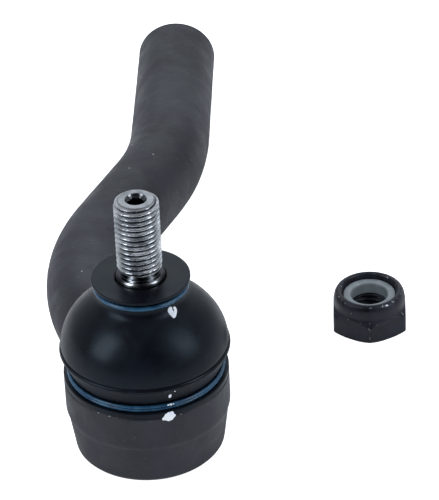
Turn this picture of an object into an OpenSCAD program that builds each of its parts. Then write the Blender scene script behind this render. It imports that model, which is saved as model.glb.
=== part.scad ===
// Tie rod end: a forged head on a joggled shank, a ball stud held between two
// plastic seats, a rubber dust boot with its two rings, and the stud's lock nut.
//
// The origin is on the head's axis, in the plane of its bottom face. +Z runs up
// the stud and +Y runs towards the threaded end of the shank.

/* [Head] */
// Diameter of the turned upper part of the head
head_d = 44.4; // [44:0.1:45]
// Diameter of the forged lower part at its bottom edge
head_foot_d = 40.4; // [40:0.1:41]
// Height of the shoulder under the boot's lip
shoulder_h = 22.4; // [22.3:0.05:22.5]
// Height of the spigot that the boot is clamped on
spigot_h = 27.4; // [27.2:0.1:27.6]
// Diameter of the spigot's retaining flange
spigot_d = 38.6; // [38.4:0.1:38.8]

/* [Shank] */
// Diameter of the shank
shank_d = 24; // [23:0.5:24.5]
// Distance from the head's axis to the shank's end face
reach = 188; // [180:1:200]
// Length of the straight run out of the head
root_run = 40; // [38:1:44]
// Radius of the bend beside the head, at the shank's centre line
near_bend_r = 62; // [56:1:66]
// Radius of the bend towards the end, at the shank's centre line
far_bend_r = 75; // [70:1:80]
// Angle between the bent runs and the line from the head to the end
bend_angle = 22.5; // [20:0.5:24]
// Minor diameter of the thread in the shank's end
socket_d = 14.38; // [13.8:0.02:14.8]
// Depth of that thread
socket_depth = 38; // [30:1:42]

/* [Ball stud] */
// Diameter of the ball
ball_d = 24; // [23.9:0.05:24]
// Height of the ball's centre
ball_h = 16; // [15.9:0.05:16.1]
// Major diameter of the stud's thread
thread_d = 12; // [11.8:0.05:12]
// Diameter at the small end of the taper
taper_d = 13; // [12.9:0.05:13]
// Height of the small end of the taper
taper_h = 54.5; // [54.3:0.1:54.7]
// Height of the stud's tip
tip_h = 77; // [72:0.5:80]

/* [Boot] */
// Diameter of the boot's body at its parting ridge
boot_d = 45.9; // [45.4:0.1:46.2]
// Height of the parting ridge
ridge_h = 31.8; // [31.6:0.1:32]
// Thickness of the rubber
boot_wall = 1.6; // [1.4:0.1:1.8]
// Diameter of the flat collar round the stud
collar_d = 26.3; // [25.9:0.1:26.7]
// Height of the collar's top face
collar_h = 53.2; // [53.1:0.05:53.3]

/* [Lock nut] */
// Size of the nut across its flats
nut_af = 20.5; // [18:0.5:21]
// Height of the nut
nut_h = 11.4; // [10.8:0.1:12]
// Distance of the loose nut from the head's axis, along X
nut_x = 60; // [50:1:80]
// Distance of the loose nut from the head's axis, along Y
nut_y = 54; // [40:1:70]

/* [Hidden] */
$fn = 96;
e = 0.5; // overshoot of every cutter past the face it opens

parting_h = shank_d / 2 + 0.3; // just above the shank's centre line
neck_d = 0.8 * shank_d;
neck_run = 25;
neck_start = 16;
lap = 0.8; // how far a run reaches into the bend at its end
step = 0.02; // how much thinner the runs are than the bends
end_chamfer = 0.8;
// this run brings the shank's end back in line with the head's axis
mid_run = root_run - far_bend_r * tan(bend_angle / 2);
end_y = (root_run + mid_run) * cos(bend_angle) + 2 * near_bend_r * sin(bend_angle)
      + far_bend_r * sin(bend_angle);
end_run = reach - end_y;

rolled_lip_h = 1.0;
cover_d = 32.6;
cover_t = 2.0;
boss_d = 22;
cover_ledge_h = 3.2;
seat_d = 29.4;
seat_bore_d = 29.6;
seat_top_h = 22;
mouth_d = 21.6;
mouth_flare_d = 28.4;
socket_clearance = 0.05; // the ball's running clearance in its seats
seat_gap = 0.2;
lower_seat_h = 4.7;

waist_d = 12.4;
taper_slope = 1 / 16; // radius lost per millimetre of height: a 1:8 taper
taper_root_h = 33;
waist_top_h = 30;
ball_flat_h = 5.6;
relief_d = 10.2;
relief_h = 1.2;
tip_chamfer = 1.35;
drive_d = 5;
drive_depth = 4.5;

groove_r = 20.3;
lip_r = 22.2;
lip_top_h = 24.1;
bottom_ring_h = 25;
neck_r = 11.4;
top_ring_h = 50.7;
top_ring_wire = 1.3;
bottom_ring_wire = 0.85;
dome_h = 18;
dome_r = boot_d / 2 - 0.45;
seal_ring_d = 15.2;
seal_ring_h = 5;
seal_bore_gap = 0.22;

nut_thread_d = 10.38;
nut_thread_h = 6.3;
nut_collar_r = nut_af / 2 - 0.2;
insert_d = 14.8;
insert_bore_d = 10.4;
insert_sunk = 1.65; // the ring's depth below the nut's rim

function taper_r(h) = taper_d / 2 + (taper_h - h) * taper_slope;

// a point on the boot's dome, t degrees above the ridge, moved in by the inset
function dome_point(t, inset) =
    [(dome_r - inset) * cos(t), ridge_h + (dome_h - inset) * sin(t)];

// one straight run of the shank along +Y, from y to y + length
module run(y, length, d1 = shank_d - step, d2 = shank_d - step) {
    translate([0, y, 0]) rotate([-90, 0, 0]) cylinder(h = length, d1 = d1, d2 = d2);
}

// the shank from inside the head's wall to the start of the far bend
module shank() {
    translate([0, 0, shank_d / 2]) rotate([0, 0, bend_angle]) {
        run(neck_start, neck_run - neck_start, neck_d, neck_d);
        run(neck_run, root_run + lap - neck_run, neck_d);
        translate([near_bend_r, root_run, 0]) {
            rotate([0, 0, 180 - 2 * bend_angle]) rotate_extrude(angle = 2 * bend_angle)
                translate([near_bend_r, 0]) circle(d = shank_d);
            rotate([0, 0, -2 * bend_angle]) translate([-near_bend_r, 0, 0]) outer_shank();
        }
    }
}

module outer_shank() {
    run(-lap, mid_run + 2 * lap);
    translate([-far_bend_r, mid_run, 0]) {
        rotate_extrude(angle = bend_angle) translate([far_bend_r, 0]) circle(d = shank_d);
        rotate([0, 0, bend_angle]) translate([far_bend_r, 0, 0]) {
            run(-lap, end_run - end_chamfer + lap);
            run(end_run - end_chamfer, end_chamfer, d2 = shank_d - 2 * end_chamfer);
        }
    }
}

module head_blank() {
    rotate_extrude() polygon([
        [0, 0], [head_foot_d / 2 - 1.2, 0], [head_foot_d / 2, 1.2],
        [head_d / 2 - 0.45, parting_h], [head_d / 2, parting_h + 0.4],
        [head_d / 2, shoulder_h - 0.4], [head_d / 2 - 0.4, shoulder_h],
        [spigot_d / 2 - 0.9, shoulder_h], [spigot_d / 2 - 0.9, spigot_h - 1.5],
        [spigot_d / 2, spigot_h - 1.2], [spigot_d / 2, spigot_h - 0.4],
        [spigot_d / 2 - 0.4, spigot_h], [0, spigot_h]
    ]);
}

module head_cavity() {
    translate([0, 0, -e]) cylinder(h = rolled_lip_h + 2 * e, d = cover_d - 5.4);
    translate([0, 0, rolled_lip_h])
        cylinder(h = cover_ledge_h - rolled_lip_h, d = cover_d + 0.2);
    translate([0, 0, rolled_lip_h]) cylinder(h = seat_top_h - rolled_lip_h, d = seat_bore_d);
    translate([0, 0, seat_top_h]) cylinder(h = spigot_h - seat_top_h, d1 = mouth_d, d2 = mouth_flare_d);
    translate([0, 0, spigot_h - 0.01]) cylinder(h = e, d = mouth_flare_d);
}

module end_socket() {
    translate([0, reach, shank_d / 2]) rotate([90, 0, 0]) {
        translate([0, 0, -e]) cylinder(h = socket_depth + e, d = socket_d);
        translate([0, 0, -0.01]) cylinder(h = 1.2, d1 = socket_d + 2.4, d2 = socket_d);
        translate([0, 0, socket_depth - 0.01]) cylinder(h = 3.5, d1 = socket_d - 0.4, d2 = 1);
    }
}

module tie_rod_forging() {
    color([0.24, 0.25, 0.28]) difference() {
        union() {
            head_blank();
            shank();
        }
        head_cavity();
        end_socket();
    }
}

module drive_recess() {
    translate([0, 0, tip_h - drive_depth]) {
        cylinder(h = drive_depth + e, d = 0.78 * drive_d);
        for (a = [0 : 60 : 300]) rotate([0, 0, a]) translate([0.39 * drive_d, 0, 0])
            cylinder(h = drive_depth + e, d = 0.2 * drive_d);
    }
}

module ball_stud() {
    color([0.78, 0.79, 0.8]) difference() {
        union() {
            translate([0, 0, ball_h]) sphere(d = ball_d);
            translate([0, 0, ball_h]) cylinder(h = waist_top_h - ball_h, d = waist_d);
            translate([0, 0, waist_top_h])
                cylinder(h = taper_root_h - waist_top_h, r1 = waist_d / 2, r2 = taper_r(taper_root_h));
            translate([0, 0, taper_root_h])
                cylinder(h = taper_h - taper_root_h, r1 = taper_r(taper_root_h), r2 = taper_d / 2);
            translate([0, 0, taper_h]) cylinder(h = relief_h, d = relief_d);
            translate([0, 0, taper_h + relief_h])
                cylinder(h = tip_h - tip_chamfer - taper_h - relief_h, d = thread_d);
            translate([0, 0, tip_h - tip_chamfer])
                cylinder(h = tip_chamfer, d1 = thread_d, d2 = thread_d - 2 * tip_chamfer);
        }
        translate([-ball_d / 2, -ball_d / 2, 0]) cube([ball_d, ball_d, ball_flat_h]);
        drive_recess();
    }
}

module ball_socket() {
    translate([0, 0, ball_h]) sphere(d = ball_d + 2 * socket_clearance);
}

module upper_bearing_seat() {
    color([0.9, 0.88, 0.8]) difference() {
        translate([0, 0, ball_h + seat_gap / 2])
            cylinder(h = seat_top_h - ball_h - seat_gap / 2, d = seat_d);
        ball_socket();
    }
}

module lower_bearing_seat() {
    color([0.9, 0.88, 0.8]) difference() {
        translate([0, 0, lower_seat_h])
            cylinder(h = ball_h - seat_gap / 2 - lower_seat_h, d = seat_d);
        ball_socket();
        translate([0, 0, lower_seat_h - e]) cylinder(h = 3, d = 10);
    }
}

// a conical disc spring that keeps the seats against the ball
module preload_spring() {
    base = rolled_lip_h + cover_t;
    rise = lower_seat_h - base - 0.8;
    color([0.55, 0.56, 0.58]) rotate_extrude() polygon([
        [6, base + rise], [13.8, base], [13.8, base + 0.8], [6, base + rise + 0.8]
    ]);
}

// the steel plate that the head's bottom lip is rolled over; its pressed-out
// centre is flush with the head's bottom face
module closing_cover() {
    color([0.5, 0.51, 0.53]) difference() {
        union() {
            translate([0, 0, rolled_lip_h]) cylinder(h = cover_t, d = cover_d);
            translate([0, 0, 0.4]) cylinder(h = rolled_lip_h, d = boss_d);
            cylinder(h = 0.4, d1 = boss_d - 0.8, d2 = boss_d);
        }
        translate([0, 0, cover_t]) cylinder(h = rolled_lip_h + e, d = boss_d - 3);
    }
}

module dust_boot() {
    wall = boot_wall;
    spigot_fit_r = spigot_d / 2 - 0.8;
    flange_fit_r = spigot_d / 2 + 0.2;
    collar_r = collar_d / 2;
    bore_r = seal_ring_d / 2 + 0.1;
    outside = concat(
        [[lip_r - 0.2, shoulder_h + 0.1], [lip_r, shoulder_h + 0.3], [lip_r, lip_top_h - 0.2],
         [lip_r - 0.2, lip_top_h], [groove_r, lip_top_h], [groove_r, lip_top_h + 1.8],
         [21, 27.1], [dome_r - 0.25, ridge_h - 0.9], [boot_d / 2, ridge_h - 0.3],
         [boot_d / 2, ridge_h]],
        [for (t = [3 : 5 : 53]) dome_point(t, 0)],
        [[12.2, 47.8], [neck_r, 49.2], [neck_r, 51.7], [collar_r - 0.3, collar_h - 1.1],
         [collar_r, collar_h - 0.9], [collar_r, collar_h - 0.2], [collar_r - 0.2, collar_h]]);
    inside = concat(
        [[bore_r, collar_h], [bore_r, collar_h - 4.8], [neck_r - wall, collar_h - 5]],
        [for (t = [54 : -6 : 0]) dome_point(t, wall)],
        [[21 - wall, 28.5], [flange_fit_r, 27], [flange_fit_r, spigot_h - 1.5],
         [spigot_fit_r, spigot_h - 1.9], [spigot_fit_r, shoulder_h + 0.1]]);
    color([0.1, 0.1, 0.11]) rotate_extrude() polygon(concat(outside, inside));
}

// two turns of flat-lying wire, as one closed band
module boot_bottom_ring() {
    inner = groove_r + 0.12;
    outer = inner + bottom_ring_wire;
    low = bottom_ring_h - bottom_ring_wire;
    high = bottom_ring_h + bottom_ring_wire;
    color([0.16, 0.42, 0.68]) rotate_extrude() polygon([
        [inner, low + 0.2], [inner + 0.2, low], [outer - 0.2, low], [outer, low + 0.2],
        [outer, high - 0.2], [outer - 0.2, high], [inner + 0.2, high], [inner, high - 0.2]
    ]);
}

module boot_top_ring() {
    color([0.16, 0.42, 0.68]) translate([0, 0, top_ring_h]) rotate_extrude()
        translate([neck_r + 0.1 + top_ring_wire / 2, 0]) circle(d = top_ring_wire);
}

// the hard ring in the collar's hole, bored to the stud's taper
module stud_seal_ring() {
    top = collar_h + 0.1;
    base = top - seal_ring_h;
    color([0.07, 0.07, 0.08]) difference() {
        translate([0, 0, base]) cylinder(h = seal_ring_h, d = seal_ring_d);
        translate([0, 0, base - e]) cylinder(h = seal_ring_h + 2 * e,
            r1 = taper_r(base - e) + seal_bore_gap, r2 = taper_r(top + e) + seal_bore_gap);
    }
}

module lock_nut() {
    corner_r = nut_af / sqrt(3);
    color([0.2, 0.21, 0.23]) translate([nut_x, nut_y, 0]) difference() {
        intersection() {
            rotate([0, 0, 30]) cylinder(h = nut_h, r = corner_r, $fn = 6);
            rotate_extrude() polygon([
                [0, 0], [corner_r - 1.4, 0], [corner_r + 0.3, 1], [corner_r + 0.3, nut_h - 5.9],
                [nut_collar_r, nut_h - 4.2], [nut_collar_r, nut_h - 1.6],
                [nut_collar_r - 0.5, nut_h - 0.6], [nut_collar_r - 1.2, nut_h], [0, nut_h]
            ]);
        }
        translate([0, 0, -e]) cylinder(h = nut_h, d = nut_thread_d);
        translate([0, 0, -0.01]) cylinder(h = 0.9, d1 = nut_thread_d + 1.8, d2 = nut_thread_d);
        translate([0, 0, nut_thread_h]) cylinder(h = nut_h, d = insert_d + 0.1);
    }
}

module lock_nut_insert() {
    base = nut_thread_h + 0.02;
    color([0.62, 0.68, 0.74]) translate([nut_x, nut_y, base]) difference() {
        cylinder(h = nut_h - insert_sunk - base, d = insert_d);
        translate([0, 0, -e]) cylinder(h = nut_h, d = insert_bore_d);
    }
}

tie_rod_forging();
ball_stud();
upper_bearing_seat();
lower_bearing_seat();
preload_spring();
closing_cover();
dust_boot();
boot_bottom_ring();
boot_top_ring();
stud_seal_ring();
lock_nut();
lock_nut_insert();
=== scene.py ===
import math

import bpy
import numpy as np
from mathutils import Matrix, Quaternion, Vector


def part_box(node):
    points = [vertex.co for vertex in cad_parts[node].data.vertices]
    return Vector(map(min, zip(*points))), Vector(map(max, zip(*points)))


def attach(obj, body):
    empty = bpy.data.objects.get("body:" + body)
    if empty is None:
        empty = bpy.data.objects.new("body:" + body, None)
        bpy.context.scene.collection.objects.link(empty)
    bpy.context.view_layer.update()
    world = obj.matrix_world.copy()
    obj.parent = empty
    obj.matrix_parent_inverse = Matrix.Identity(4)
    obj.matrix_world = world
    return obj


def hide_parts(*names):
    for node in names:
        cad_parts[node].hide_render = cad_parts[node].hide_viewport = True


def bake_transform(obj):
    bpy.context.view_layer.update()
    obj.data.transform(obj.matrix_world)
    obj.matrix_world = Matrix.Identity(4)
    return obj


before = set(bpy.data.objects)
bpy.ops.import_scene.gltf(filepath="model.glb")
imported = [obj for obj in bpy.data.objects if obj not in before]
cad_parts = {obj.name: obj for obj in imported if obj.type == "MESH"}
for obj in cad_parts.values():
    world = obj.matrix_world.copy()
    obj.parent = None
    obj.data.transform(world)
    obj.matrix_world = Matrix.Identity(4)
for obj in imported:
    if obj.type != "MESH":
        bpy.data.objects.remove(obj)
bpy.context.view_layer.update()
mm = 0.001  # the tables below are in millimetres


# camera
view = {
    "lens": 230.4,
    "sensor": 36.0,
    "target": (17.65, 62.05, 20.0),
    "distance": 910.6,
    "azimuth": 3.19,
    "elevation": 33.27,
    "roll": -2.71,
}


def makeCamera():
    azimuth, elevation = math.radians(view["azimuth"]), math.radians(view["elevation"])
    back = Vector((
        math.sin(azimuth) * math.cos(elevation),
        -math.cos(azimuth) * math.cos(elevation),
        math.sin(elevation),
    ))
    data = bpy.data.cameras.new("mainCamera")
    data.lens = view["lens"]
    data.sensor_width = view["sensor"]
    data.clip_start = 0.02
    data.clip_end = 30.0
    camera = bpy.data.objects.new("mainCamera", data)
    camera.location = (Vector(view["target"]) + back * view["distance"]) * mm
    turn = Quaternion((0, 0, 1), math.radians(view["roll"]))
    camera.rotation_mode = "QUATERNION"
    camera.rotation_quaternion = (-back).to_track_quat("-Z", "Y") @ turn
    bpy.context.scene.collection.objects.link(camera)
    bpy.context.scene.camera = camera


makeCamera()
print("camera placed")


# profiles and grids
def rounded(outline, steps=4):
    # Each corner (r, z, cut) becomes a short curve that starts and ends `cut` away from it:
    # (1-t)^2 times the start + 2t(1-t) times the corner + t^2 times the end.
    outline = np.array(outline, float)
    corner, cut = outline[:, :2], outline[:, 2]
    toLast = np.roll(corner, 1, 0) - corner
    toNext = np.roll(corner, -1, 0) - corner
    lastSpan = np.linalg.norm(toLast, axis=1)
    nextSpan = np.linalg.norm(toNext, axis=1)
    reach = np.minimum(cut, 0.48 * np.minimum(lastSpan, nextSpan))
    start = (corner + toLast * (reach / lastSpan)[:, None])[:, None]
    end = (corner + toNext * (reach / nextSpan)[:, None])[:, None]
    t = np.linspace(0, 1, steps + 1)[None, :, None]
    curve = (1 - t) ** 2 * start + 2 * t * (1 - t) * corner[:, None] + t ** 2 * end
    keep = (reach[:, None] > 0) | (np.arange(steps + 1)[None, :] == 0)
    return curve[keep]


def spaced(line, longest, closed=False):
    # Points are added along each straight span so that none is longer than `longest`.
    line = np.vstack([line, line[:1]]) if closed else line
    span = np.linalg.norm(np.diff(line, axis=0), axis=1)
    count = np.maximum(1, np.ceil(span / longest).astype(int))
    which = np.repeat(np.arange(len(span)), count)
    first = np.cumsum(count) - count
    t = (np.arange(count.sum()) - np.repeat(first, count)) / count[which]
    inner = line[which] + (line[which + 1] - line[which]) * t[:, None]
    return inner if closed else np.vstack([inner, line[-1:]])


def circle(count):
    # evenly spaced angles once round, as one row
    return np.arange(count)[None, :] * (2 * np.pi / count)


def turned(line, around):
    # A profile point at radius r and height z is carried once round the axis:
    # x = r cos a, y = r sin a.
    a = circle(around)
    r, z = line[:, :1], line[:, 1:]
    return np.stack([r * np.cos(a), r * np.sin(a), np.repeat(z, around, 1)], -1)


def bowl(radius, centre, first, last, count):
    # An arc in the profile plane: r = radius cos t, z = centre + radius sin t.
    t = np.radians(np.linspace(first, last, count))
    return np.stack([radius * np.cos(t), centre + radius * np.sin(t)], -1)


def ripple(points, size, seed):
    # A gentle unevenness between -1 and 1: the mean of seven sine waves in seeded
    # directions, each about `size` millimetres long.
    draw = np.random.default_rng(seed)
    ways = draw.normal(size=(7, 3))
    ways *= (draw.uniform(0.6, 1.6, 7) / np.linalg.norm(ways, axis=1))[:, None]
    starts = draw.uniform(0, 2 * np.pi, 7)
    return np.sin(points @ ways.T * (2 * np.pi / size) + starts).mean(-1)


def smoothStep(x):
    x = np.clip(x, 0, 1)
    return x * x * (3 - 2 * x)


def skin(name, rings, loop=False, startPole=False, endPole=False, sharpAngle=38.0):
    # Row i of `rings` is one closed ring. Neighbouring rings are joined by quads; `loop`
    # joins the last ring to the first, and a pole closes an end with a fan.
    rows, around = rings.shape[:2]
    points = rings.reshape(-1, 3)
    row = np.arange(rows if loop else rows - 1)[:, None]
    column = np.arange(around)[None, :]
    nextRow, nextColumn = (row + 1) % rows, (column + 1) % around
    quads = np.stack([
        row * around + column, row * around + nextColumn,
        nextRow * around + nextColumn, nextRow * around + column,
    ], -1).reshape(-1, 4)
    fans = []
    if startPole:
        pole = np.full(around, len(points))
        fans.append(np.stack([nextColumn[0], column[0], pole], -1))
        points = np.vstack([points, rings[0].mean(0)])
    if endPole:
        pole = np.full(around, len(points))
        last = (rows - 1) * around
        fans.append(np.stack([last + column[0], last + nextColumn[0], pole], -1))
        points = np.vstack([points, rings[-1].mean(0)])
    corners = np.concatenate([quads.ravel()] + [fan.ravel() for fan in fans])
    sides = np.concatenate([np.full(len(quads), 4)] + [np.full(len(fan), 3) for fan in fans])
    mesh = bpy.data.meshes.new(name)
    mesh.vertices.add(len(points))
    mesh.vertices.foreach_set("co", (points * mm).ravel())
    mesh.loops.add(len(corners))
    mesh.loops.foreach_set("vertex_index", corners.astype(np.int32))
    mesh.polygons.add(len(sides))
    mesh.polygons.foreach_set("loop_start", (np.cumsum(sides) - sides).astype(np.int32))
    mesh.update(calc_edges=True)
    mesh.shade_smooth()
    mesh.set_sharp_from_angle(angle=math.radians(sharpAngle))
    piece = bpy.data.objects.new(name, mesh)
    bpy.context.scene.collection.objects.link(piece)
    return piece


def mark(piece, label, values):
    # Stores one number per vertex for a material to read; a pole takes 0.
    full = np.zeros(len(piece.data.vertices), np.float32)
    values = np.asarray(values, np.float32).ravel()
    full[:len(values)] = values
    piece.data.attributes.new(label, "FLOAT", "POINT").data.foreach_set("value", full)


def nearCorners(rings, corners, width):
    # 1 at the listed (r, z) corners and falling to 0 over `width`: exp(-(distance/width)^2).
    flat = np.stack([np.hypot(rings[..., 0], rings[..., 1]), rings[..., 2]], -1)
    gap = np.linalg.norm(flat[..., None, :] - np.array(corners, float), axis=-1).min(-1)
    return np.exp(-(gap / width) ** 2)


def threadWave(height, angle, pitch, crest=0.13, root=0.86):
    # 0 on the crest of a right-hand thread and 1 at its root; the crest line climbs one
    # pitch for each turn.
    phase = (height / pitch - angle / (2 * np.pi)) % 1.0
    away = np.abs(phase - 0.5) * 2
    return 1 - np.clip(((1 - away) - (1 - root)) / (root - crest), 0, 1)


# shader building blocks
def lit(red, green, blue):
    # a screen colour from 0 to 255 as the linear colour a shader wants
    c = np.array([red, green, blue]) / 255.0
    c = np.where(c <= 0.04045, c / 12.92, ((c + 0.055) / 1.055) ** 2.4)
    return (float(c[0]), float(c[1]), float(c[2]), 1.0)


def addNode(tree, kind, inputs=None, **settings):
    node = tree.nodes.new(kind)
    for key, value in settings.items():
        setattr(node, key, value)
    for key, value in (inputs or {}).items():
        if isinstance(value, bpy.types.NodeSocket):
            tree.links.new(value, node.inputs[key])
        else:
            node.inputs[key].default_value = value
    return node


def sums(tree, operation, first, second):
    node = addNode(tree, "ShaderNodeMath", {0: first, 1: second}, operation=operation)
    return node.outputs[0]


def blendColours(tree, mask, first, second):
    node = addNode(tree, "ShaderNodeMix", {0: mask, 6: first, 7: second}, data_type="RGBA")
    return node.outputs[2]


def blendNumbers(tree, mask, first, second):
    node = addNode(tree, "ShaderNodeMix", {0: mask, 2: first, 3: second}, data_type="FLOAT")
    return node.outputs[0]


def newGroup(name, inputs, outputs):
    # every socket is a number, apart from the place on the piece
    group = bpy.data.node_groups.new(name, "ShaderNodeTree")
    for side, labels in (("INPUT", ("Vector", *inputs)), ("OUTPUT", outputs)):
        for label in labels:
            kind = "NodeSocketVector" if label == "Vector" else "NodeSocketFloat"
            group.interface.new_socket(name=label, in_out=side, socket_type=kind)
    return group, group.nodes.new("NodeGroupInput"), group.nodes.new("NodeGroupOutput")


def noiseIn(group, given, size, detail, roughness, distortion=0.0):
    scale = sums(group, "DIVIDE", 1.0, given.outputs[size])
    return addNode(group, "ShaderNodeTexNoise", {
        "Vector": given.outputs["Vector"], "Scale": scale, "Detail": detail,
        "Roughness": roughness, "Distortion": distortion}).outputs[0]


def makeGrain():
    # fine grain for bump, and slow patches for changes of tone
    group, given, result = newGroup(
        "surfaceGrain", ("Grain size", "Patch size"), ("Height", "Patches"))
    fine = noiseIn(group, given, "Grain size", 4.0, 0.6)
    slow = noiseIn(group, given, "Patch size", 3.0, 0.55, 0.4)
    spread = addNode(group, "ShaderNodeMapRange", {
        "Value": slow, "From Min": 0.36, "From Max": 0.64})
    group.links.new(fine, result.inputs["Height"])
    group.links.new(spread.outputs[0], result.inputs["Patches"])
    return group


def makeWear():
    # paint or black finish rubbed off in broken patches where the Edge value is high
    group, given, result = newGroup("edgeWear", ("Edge", "Amount", "Chip size"), ("Mask",))
    chips = noiseIn(group, given, "Chip size", 5.0, 0.65)
    pull = sums(group, "MULTIPLY", given.outputs["Edge"], given.outputs["Amount"])
    mask = addNode(group, "ShaderNodeMapRange", {
        "Value": sums(group, "ADD", pull, chips), "From Min": 0.98, "From Max": 1.06})
    group.links.new(mask.outputs[0], result.inputs["Mask"])
    return group


def makeSpecks():
    # small round specks of dust: a few of the cells, each with a dot at its centre
    group, given, result = newGroup("dustSpecks", ("Spacing", "Share", "Dot"), ("Mask",))
    cells = addNode(group, "ShaderNodeTexVoronoi", {
        "Vector": given.outputs["Vector"],
        "Scale": sums(group, "DIVIDE", 1.0, given.outputs["Spacing"])})
    pick = addNode(group, "ShaderNodeSeparateColor", {"Color": cells.outputs["Color"]})
    chosen = sums(group, "LESS_THAN", pick.outputs[0], given.outputs["Share"])
    dot = sums(group, "MULTIPLY", given.outputs["Dot"], pick.outputs[1])
    inside = sums(group, "LESS_THAN", cells.outputs["Distance"], dot)
    group.links.new(sums(group, "MULTIPLY", chosen, inside), result.inputs["Mask"])
    return group


grainGroup, wearGroup, speckGroup = makeGrain(), makeWear(), makeSpecks()


def stored(tree, label):
    return addNode(tree, "ShaderNodeAttribute", attribute_name=label).outputs["Fac"]


def grainOn(tree, place, grainSize, patchSize):
    return addNode(tree, "ShaderNodeGroup", {
        "Vector": place, "Grain size": grainSize, "Patch size": patchSize}, node_tree=grainGroup)


def wearOn(tree, place, amount, chipSize):
    wear = addNode(tree, "ShaderNodeGroup", {
        "Vector": place, "Edge": stored(tree, "edge"), "Amount": amount, "Chip size": chipSize,
    }, node_tree=wearGroup)
    return wear.outputs["Mask"]


def specksOn(tree, place, spacing, share, dot):
    specks = addNode(tree, "ShaderNodeGroup", {
        "Vector": place, "Spacing": spacing, "Share": share, "Dot": dot}, node_tree=speckGroup)
    return specks.outputs["Mask"]


def newFinish(name, roughness=0.5, specular=0.5):
    # an empty material with its shader, and the place on the piece as a vector
    material = bpy.data.materials.new(name)
    material.use_nodes = True
    tree = material.node_tree
    tree.nodes.clear()
    shader = addNode(tree, "ShaderNodeBsdfPrincipled", {
        "Roughness": roughness, "Specular IOR Level": specular})
    out = tree.nodes.new("ShaderNodeOutputMaterial")
    tree.links.new(shader.outputs[0], out.inputs["Surface"])
    place = tree.nodes.new("ShaderNodeTexCoord").outputs["Object"]
    return material, tree, shader, place


def feed(tree, shader, **sources):
    for key, source in sources.items():
        tree.links.new(source, shader.inputs[key.replace("_", " ")])


def addBump(tree, shader, height, strength, distance):
    bump = addNode(tree, "ShaderNodeBump", {
        "Height": height, "Strength": strength, "Distance": distance})
    feed(tree, shader, Normal=bump.outputs[0])


def mottled(tree, shader, place, look):
    # two close tones and an uneven gloss in slow patches, over a fine grain
    grain = grainOn(tree, place, *look["grain"])
    addBump(tree, shader, grain.outputs["Height"], *look["bump"])
    patches = grain.outputs["Patches"]
    return (blendColours(tree, patches, look["dark"], look["light"]),
            blendNumbers(tree, patches, *look["rough"]))


# Finishes. Sizes are in metres: a grain is its grain size and patch size, wear is its amount
# and chip size, specks are their spacing, share of cells and dot size, and a bump is its
# strength and distance.
coat = {
    "dark": lit(18, 20, 26),
    "light": lit(50, 55, 64),
    "warm": lit(52, 48, 60),
    "scale": lit(84, 86, 92),
    "pit": lit(10, 10, 12),
    "steel": lit(176, 178, 182),
    "dust": lit(170, 172, 176),
    "specular": 0.42,
    "rough": (0.40, 0.58),
    "bareRough": 0.34,
    "bareMetal": 0.85,
    "fine": (0.00055, 0.009),
    "broad": (0.0024, 0.030),
    "peel": (0.0014, 0.0026),
    "toneShares": (0.34, 0.56, 0.10),  # fine, broad and peel
    "scaleMarks": (0.68, 0.4),  # height of the peel that shows scale, and how strongly
    "wear": (0.42, 0.0021),
    "pits": (0.0071, 0.10, 0.08),
    "specks": (0.0034, 0.09, 0.11),
    "bump": (0.55, 0.00014),
}


def forgedCoat():
    # black-blue dip coat over a shot-blasted forging, chipped along the turned edges
    material, tree, shader, place = newFinish("forgedCoat", specular=coat["specular"])
    layers = [grainOn(tree, place, *coat[layer]) for layer in ("fine", "broad", "peel")]
    fine, broad, peel = layers
    worn = sums(tree, "MAXIMUM", wearOn(tree, place, *coat["wear"]), stored(tree, "bare"))
    tone = 0.0
    for layer, share in zip(layers, coat["toneShares"]):
        tone = sums(tree, "ADD", tone, sums(tree, "MULTIPLY", layer.outputs["Patches"], share))
    colour = blendColours(tree, fine.outputs["Patches"], coat["light"], coat["warm"])
    colour = blendColours(tree, tone, coat["dark"], colour)
    above, strength = coat["scaleMarks"]
    scaled = sums(tree, "GREATER_THAN", peel.outputs["Height"], above)
    scaled = sums(tree, "MULTIPLY", scaled, strength)
    for mask, tint in ((scaled, "scale"), (specksOn(tree, place, *coat["pits"]), "pit"),
                       (specksOn(tree, place, *coat["specks"]), "dust"), (worn, "steel")):
        colour = blendColours(tree, mask, colour, coat[tint])
    rough = blendNumbers(tree, fine.outputs["Patches"], *coat["rough"])
    feed(tree, shader, Base_Color=colour,
         Metallic=sums(tree, "MULTIPLY", worn, coat["bareMetal"]),
         Roughness=blendNumbers(tree, worn, rough, coat["bareRough"]))
    height = sums(tree, "ADD", fine.outputs["Height"], peel.outputs["Height"])
    height = sums(tree, "ADD", height, broad.outputs["Height"])
    addBump(tree, shader, height, *coat["bump"])
    return material


steel = {
    "bright": lit(228, 230, 234),
    "dull": lit(158, 161, 166),
    # painted shade for the thread's roots, the drive recess, the tip's top face and the relief
    # under the thread
    "root": lit(34, 36, 41),
    "rough": (0.13, 0.26),
    "stretch": (0.06, 0.06, 1.0),  # draws the turning lines out round the axis
    "lines": (0.00016, 0.0012),
    "grain": (0.0005, 0.005),
    "bump": (0.25, 0.00003),
}


def turnedSteel():
    # bright steel with fine turning lines round the axis, and painted shade darkening the thread's
    # roots, the drive recess, the tip's top face and the relief under the thread
    material, tree, shader, place = newFinish("turnedSteel")
    shader.inputs["Metallic"].default_value = 1.0
    stretch = addNode(tree, "ShaderNodeMapping", {"Vector": place, "Scale": steel["stretch"]})
    lines = grainOn(tree, stretch.outputs[0], *steel["lines"])
    grain = grainOn(tree, place, *steel["grain"])
    colour = blendColours(tree, grain.outputs["Patches"], steel["dull"], steel["bright"])
    # painted shade, from the stud's root attribute
    colour = blendColours(tree, stored(tree, "root"), colour, steel["root"])
    feed(tree, shader, Base_Color=colour,
         Roughness=blendNumbers(tree, lines.outputs["Patches"], *steel["rough"]))
    addBump(tree, shader, lines.outputs["Height"], *steel["bump"])
    return material


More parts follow.
